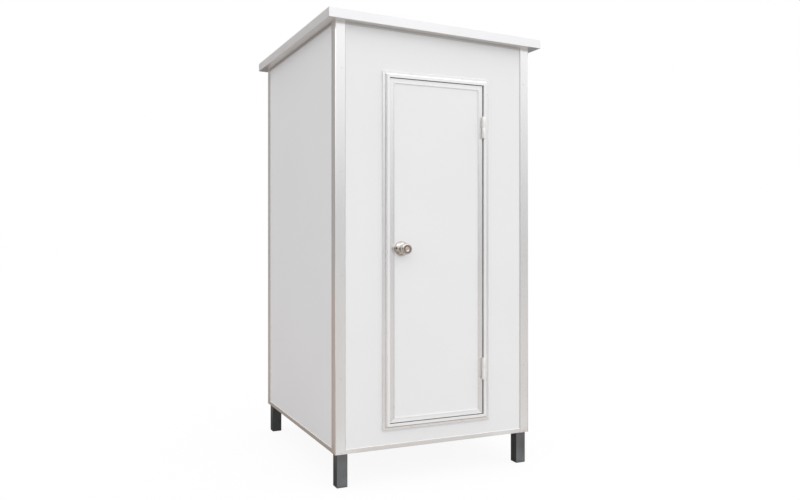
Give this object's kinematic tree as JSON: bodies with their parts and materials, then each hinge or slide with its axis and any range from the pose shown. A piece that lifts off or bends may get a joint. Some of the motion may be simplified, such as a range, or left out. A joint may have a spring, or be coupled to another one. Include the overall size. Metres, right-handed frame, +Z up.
{
  "type": "portable toilet cabin",
  "caption": "White sandwich-panel toilet cabin on square steel legs, with metal corner profiles, a framed outward-opening door with a knob latch, a sloping flat roof and a toilet inside.",
  "frame": {"origin": "on the ground under the middle of the cabin's walls", "axes": "+X to the right along the door wall as seen from outside, +Y to the rear away from the door, +Z up"},
  "size_m": [1.3, 1.556, 2.5125],
  "materials": {
    "leg_steel": "satin dark grey paint",
    "galvanised_steel": "galvanised",
    "floor_board": "phenolic-faced plywood, dark film",
    "aluminium_profile": "pale satin anodised",
    "white_panel": "smooth white skin",
    "white_trim": "white coated sheet",
    "seal_rubber": "matt",
    "zinc_steel": "zinc plated",
    "hinge_white": "cream-white coated",
    "knob_metal": "satin stainless",
    "key_metal": "bright",
    "sanitary_ceramic": "white glaze",
    "seat_plastic": "white",
    "hinge_steel": "stainless",
    "pipe_plastic": "grey pipe",
    "inlet_brass": "plain",
    "vent_plastic": "white",
    "lens_plastic": "opal",
    "tissue_paper": "soft white"
  },
  "bodies": {
    "cabin": {"leg_front_left": "leg_steel", "leg_front_right": "leg_steel", "leg_rear_left": "leg_steel", "leg_rear_right": "leg_steel", "chassis_side_beams": "galvanised_steel", "chassis_cross_beams": "galvanised_steel", "floor_deck": "floor_board", "corner_post_front_left": "aluminium_profile", "corner_post_front_right": "aluminium_profile", "corner_post_rear_left": "aluminium_profile", "corner_post_rear_right": "aluminium_profile", "bottom_rail_front": "aluminium_profile", "bottom_rail_rear": "aluminium_profile", "bottom_rail_left": "aluminium_profile", "bottom_rail_right": "aluminium_profile", "head_rails": "aluminium_profile", "wall_panel_front": "white_panel", "wall_panel_rear": "white_panel", "wall_panel_left": "white_panel", "wall_panel_right": "white_panel", "roof_panel": "white_panel", "fascia_front": "white_trim", "fascia_rear": "white_trim", "fascia_left": "white_trim", "fascia_right": "white_trim", "door_jamb_lock": "aluminium_profile", "door_jamb_hinge": "aluminium_profile", "door_head": "aluminium_profile", "door_sill": "aluminium_profile", "door_seal": "seal_rubber", "strike_plate": "zinc_steel", "hinge_frame_halves": "hinge_white", "toilet_pan": "sanitary_ceramic", "seat_hinge": "hinge_steel", "cistern": "sanitary_ceramic", "cistern_lid": "sanitary_ceramic", "flush_valve": "pipe_plastic", "waste_pipe": "pipe_plastic", "water_inlet": "inlet_brass", "vent_louvre": "vent_plastic", "lamp_base": "vent_plastic", "lamp_lens": "lens_plastic", "roll_holder": "hinge_steel"},
    "door": {"leaf_panel": "white_panel", "leaf_stile_lock": "aluminium_profile", "leaf_stile_hinge": "aluminium_profile", "leaf_rails": "aluminium_profile", "hinge_door_halves": "hinge_white", "rose_plates": "knob_metal", "latch_case": "zinc_steel"},
    "knobs": {"knob_outer": "knob_metal", "knob_inner": "knob_metal"},
    "key": {"key_plug": "key_metal"},
    "privacy_button": {"turn_button": "key_metal"},
    "bolt": {"latch_bolt": "zinc_steel"},
    "seat": {"toilet_seat": "seat_plastic"},
    "lid": {"toilet_lid": "seat_plastic"},
    "flush": {"flush_button": "key_metal"},
    "roll": {"toilet_roll": "tissue_paper"}
  },
  "joints": [
    {"name": "door_swing", "type": "hinge", "parent": "cabin", "child": "door", "pos_m": [0.2825, -0.7165, 1.26], "axis": [0, 0, 1], "range_deg": [0, 110]},
    {"name": "knob_turn", "type": "hinge", "parent": "door", "child": "knobs", "pos_m": [-0.2225, -0.68, 1.26], "axis": [0, -1, 0], "range_deg": [0, 60]},
    {"name": "bolt_throw", "type": "slide", "parent": "door", "child": "bolt", "axis": [-1, 0, 0], "range_m": [0, 0.012]},
    {"name": "key_turn", "type": "hinge", "parent": "knobs", "child": "key", "pos_m": [-0.2225, -0.77, 1.26], "axis": [0, -1, 0], "range_deg": [0, 90]},
    {"name": "button_turn", "type": "hinge", "parent": "knobs", "child": "privacy_button", "pos_m": [-0.2225, -0.59, 1.26], "axis": [0, 1, 0], "range_deg": [0, 90]},
    {"name": "seat_lift", "type": "hinge", "parent": "cabin", "child": "seat", "pos_m": [0, 0.434, 0.66], "axis": [-1, 0, 0], "range_deg": [0, 92]},
    {"name": "lid_lift", "type": "hinge", "parent": "cabin", "child": "lid", "pos_m": [0, 0.434, 0.66], "axis": [-1, 0, 0], "range_deg": [-95, 0]},
    {"name": "flush_press", "type": "slide", "parent": "cabin", "child": "flush", "axis": [0, 0, -1], "range_m": [0, 0.005], "stiffness_N_per_m": 400},
    {"name": "roll_spin", "type": "hinge", "parent": "cabin", "child": "roll", "pos_m": [-0.489, -0.168, 0.878], "axis": [0, 1, 0], "continuous": true}
  ],
  "couplings": [
    {"joint": "bolt_throw", "follows": "knob_turn", "m_per_rad": 0.011459}
  ]
}
